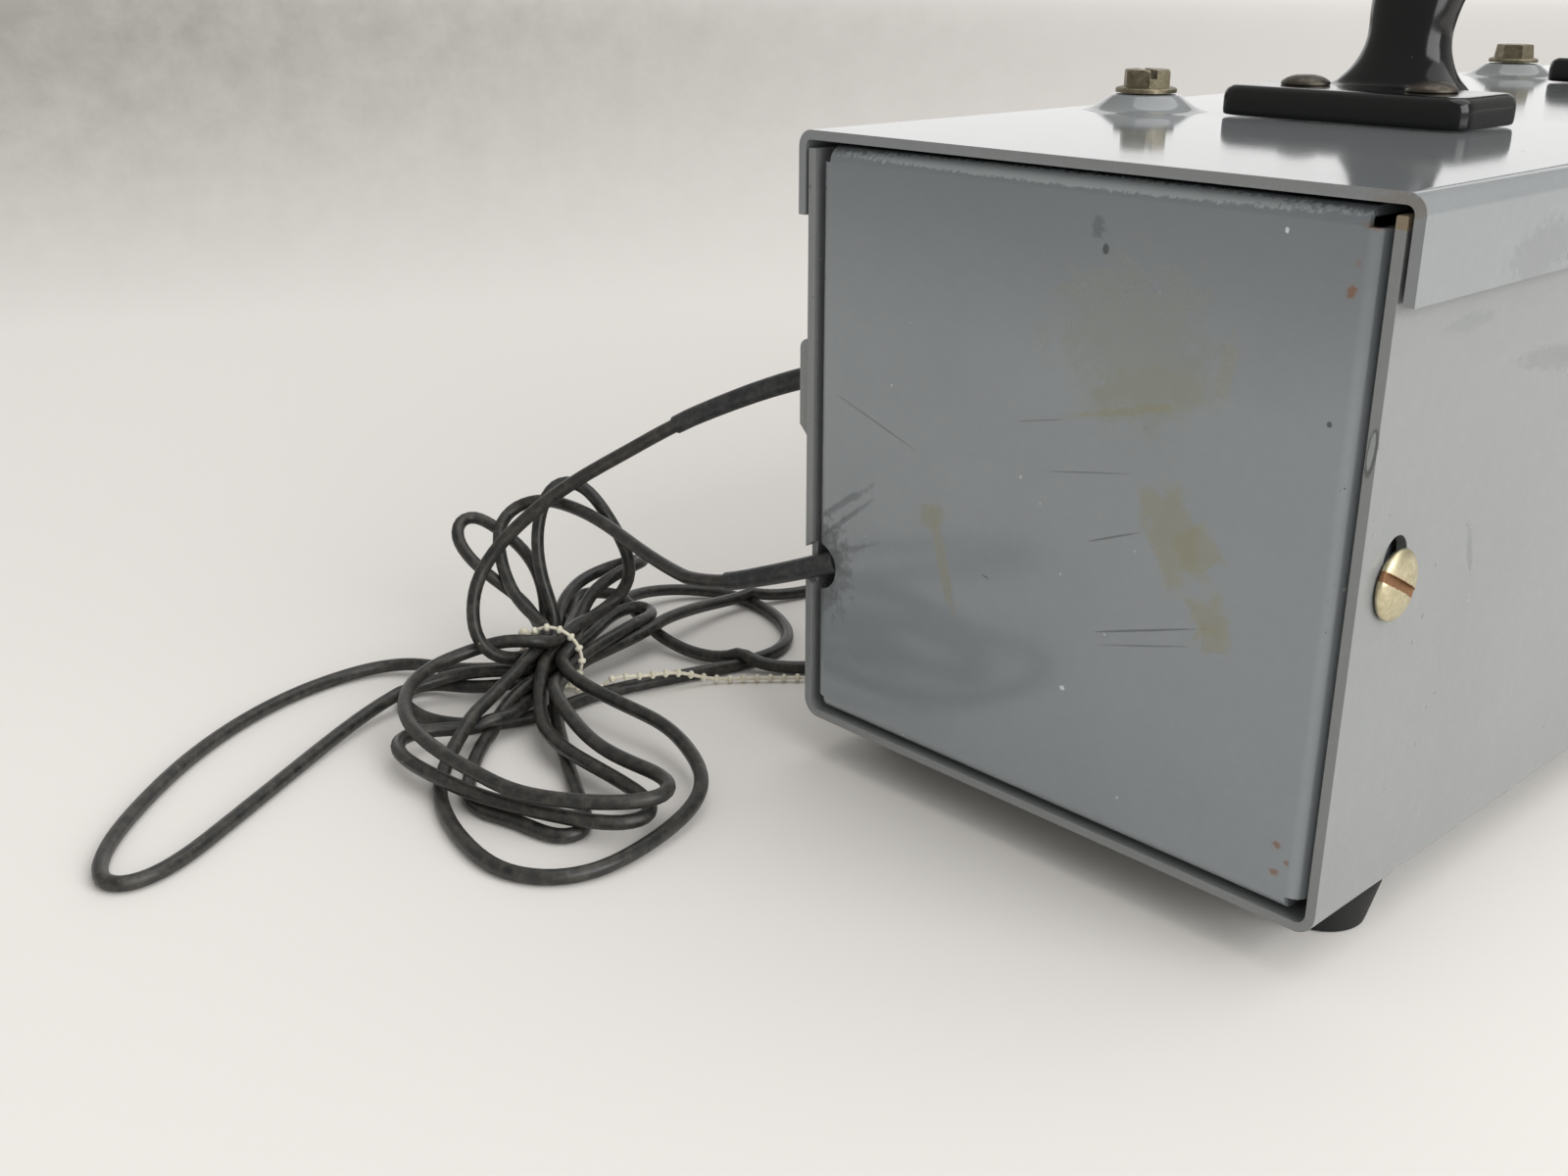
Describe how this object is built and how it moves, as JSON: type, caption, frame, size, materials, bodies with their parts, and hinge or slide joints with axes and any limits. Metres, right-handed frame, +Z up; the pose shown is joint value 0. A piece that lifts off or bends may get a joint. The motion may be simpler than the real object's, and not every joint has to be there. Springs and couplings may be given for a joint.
{
  "type": "garage door opener power unit",
  "caption": "Painted sheet-metal box with a carry handle, a geared motor and limit switches inside, a drive sprocket at the far end and two thin leads tied in a bundle.",
  "frame": {"origin": "on the surface that the feet stand on, under the middle of the unit without its leads", "axes": "+X to the right across the front end panel, +Y along the box from the front panel to the drive end, +Z up"},
  "size_m": [0.2383, 0.5265, 0.1835],
  "materials": {
    "enamel": "semi-gloss blue-grey enamel",
    "black_plastic": "gloss",
    "rubber": "matte",
    "zinc_plate": "yellow zinc plate",
    "brass": "pale plated brass",
    "steel": "satin",
    "cast_metal": "cast",
    "copper": "enamelled wire",
    "phenolic": "matte",
    "nylon": "matte",
    "cord_jacket": "dusty matte jacket"
  },
  "bodies": {
    "case": {"case_wrap": "enamel", "lid": "enamel", "front_panel": "enamel", "rear_panel": "enamel", "lead_outlet": "enamel", "mains_inlet": "black_plastic", "foot_front_left": "rubber", "foot_front_right": "rubber", "foot_rear_left": "rubber", "foot_rear_right": "rubber", "side_screw_front_left": "brass", "side_screw_front_right": "brass", "side_screw_rear_left": "brass", "side_screw_rear_right": "brass", "lid_bolt_front": "zinc_plate", "lid_bolt_rear": "zinc_plate", "lid_bolt_side": "zinc_plate", "carry_handle": "black_plastic", "handle_screw_front_left": "zinc_plate", "handle_screw_front_right": "zinc_plate", "handle_screw_rear_left": "zinc_plate", "handle_screw_rear_right": "zinc_plate", "deck_plate": "steel", "stator_core": "steel", "stator_winding_front": "copper", "stator_winding_rear": "copper", "end_bell_front": "cast_metal", "end_bell_rear": "cast_metal", "gear_plate_front": "steel", "gear_plate_rear": "steel", "limit_switch_open": "phenolic", "limit_switch_close": "phenolic", "switch_bracket": "steel", "relay_yoke": "steel", "relay_coil": "copper", "transformer_core": "steel", "transformer_winding": "copper", "terminal_strip": "phenolic", "lead_sleeve_upper": "rubber", "lead_sleeve_lower": "rubber", "lead_bundle": "cord_jacket", "lead_upper_run": "cord_jacket", "lead_lower_run": "cord_jacket", "lead_upper_coil": "cord_jacket", "lead_lower_coil": "cord_jacket", "lead_upper_tail": "cord_jacket", "lead_lower_tail": "cord_jacket", "lead_upper_plug": "black_plastic", "lead_lower_plug": "black_plastic"},
    "rotor": {"rotor_core": "steel", "motor_shaft": "steel"},
    "layshaft": {"layshaft": "steel", "reduction_gear": "phenolic"},
    "output": {"output_shaft": "steel", "output_gear": "steel", "limit_cam": "nylon", "drive_sprocket": "steel"},
    "open_lever": {"limit_lever_open": "steel"},
    "close_lever": {"limit_lever_close": "steel"},
    "relay_armature": {"relay_armature": "steel"}
  },
  "joints": [
    {"name": "rotor_spin", "type": "hinge", "parent": "case", "child": "rotor", "pos_m": [0, -0.028, 0.0795], "axis": [0, 1, 0], "continuous": true},
    {"name": "layshaft_spin", "type": "hinge", "parent": "case", "child": "layshaft", "pos_m": [-0.02787, 0.06, 0.05441], "axis": [0, 1, 0], "continuous": true},
    {"name": "output_spin", "type": "hinge", "parent": "case", "child": "output", "pos_m": [0.01224, 0.06, 0.04877], "axis": [0, 1, 0], "continuous": true},
    {"name": "open_lever_swing", "type": "hinge", "parent": "case", "child": "open_lever", "pos_m": [-0.00706, 0.111, 0.06877], "axis": [0, 1, 0], "range_deg": [0, 6], "stiffness_Nm_per_rad": 0.02, "springref_deg": -5.73},
    {"name": "close_lever_swing", "type": "hinge", "parent": "case", "child": "close_lever", "pos_m": [0.03154, 0.111, 0.06877], "axis": [0, -1, 0], "range_deg": [0, 6], "stiffness_Nm_per_rad": 0.02, "springref_deg": -5.73},
    {"name": "armature_pull", "type": "hinge", "parent": "case", "child": "relay_armature", "pos_m": [0.026, -0.134, 0.0795], "axis": [1, 0, 0], "range_deg": [0, 8], "stiffness_Nm_per_rad": 0.02, "springref_deg": -5.73}
  ],
  "couplings": [
    {"joint": "layshaft_spin", "follows": "rotor_spin", "ratio": -0.25},
    {"joint": "output_spin", "follows": "rotor_spin", "ratio": 0.0875}
  ]
}
